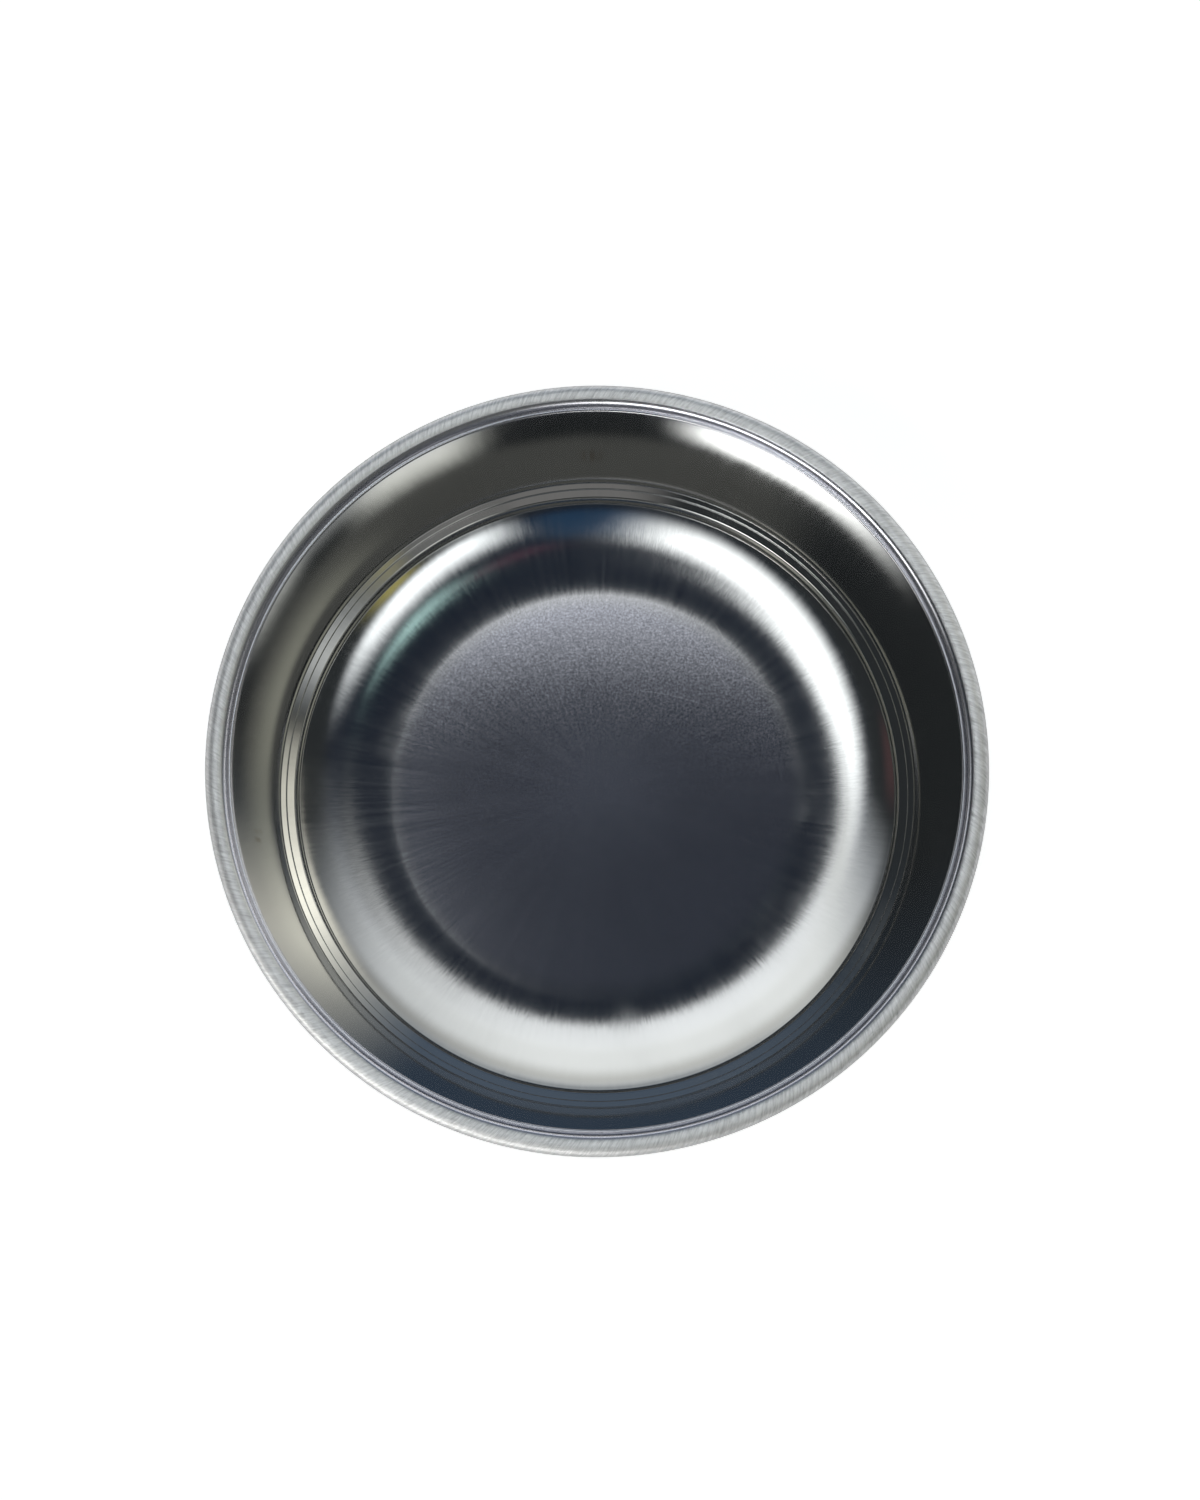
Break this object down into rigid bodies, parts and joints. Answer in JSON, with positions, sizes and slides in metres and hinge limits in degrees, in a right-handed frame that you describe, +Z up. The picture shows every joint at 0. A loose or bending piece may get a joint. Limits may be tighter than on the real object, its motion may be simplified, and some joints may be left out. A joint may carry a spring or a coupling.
{
  "type": "pet feeding bowl",
  "caption": "Round stainless pet bowl with a rolled rim, tapered polished wall, two narrow ledges pressed near the foot and a dished floor, standing on a black rubber anti-slip ring.",
  "frame": {"origin": "middle of the rubber ring's sole, on the floor that the bowl stands on", "axes": "+Z up along the bowl's axis of rotation, X and Y level; the bowl is the same all the way round"},
  "size_m": [0.22, 0.22, 0.0594],
  "materials": {
    "steel": "polished inside, brushed on the rim and outside, matte on the flat of the floor",
    "rubber": "matte moulded black rubber"
  },
  "bodies": {
    "root": {"bowl": "steel", "foot_ring": "rubber"}
  },
  "joints": []
}
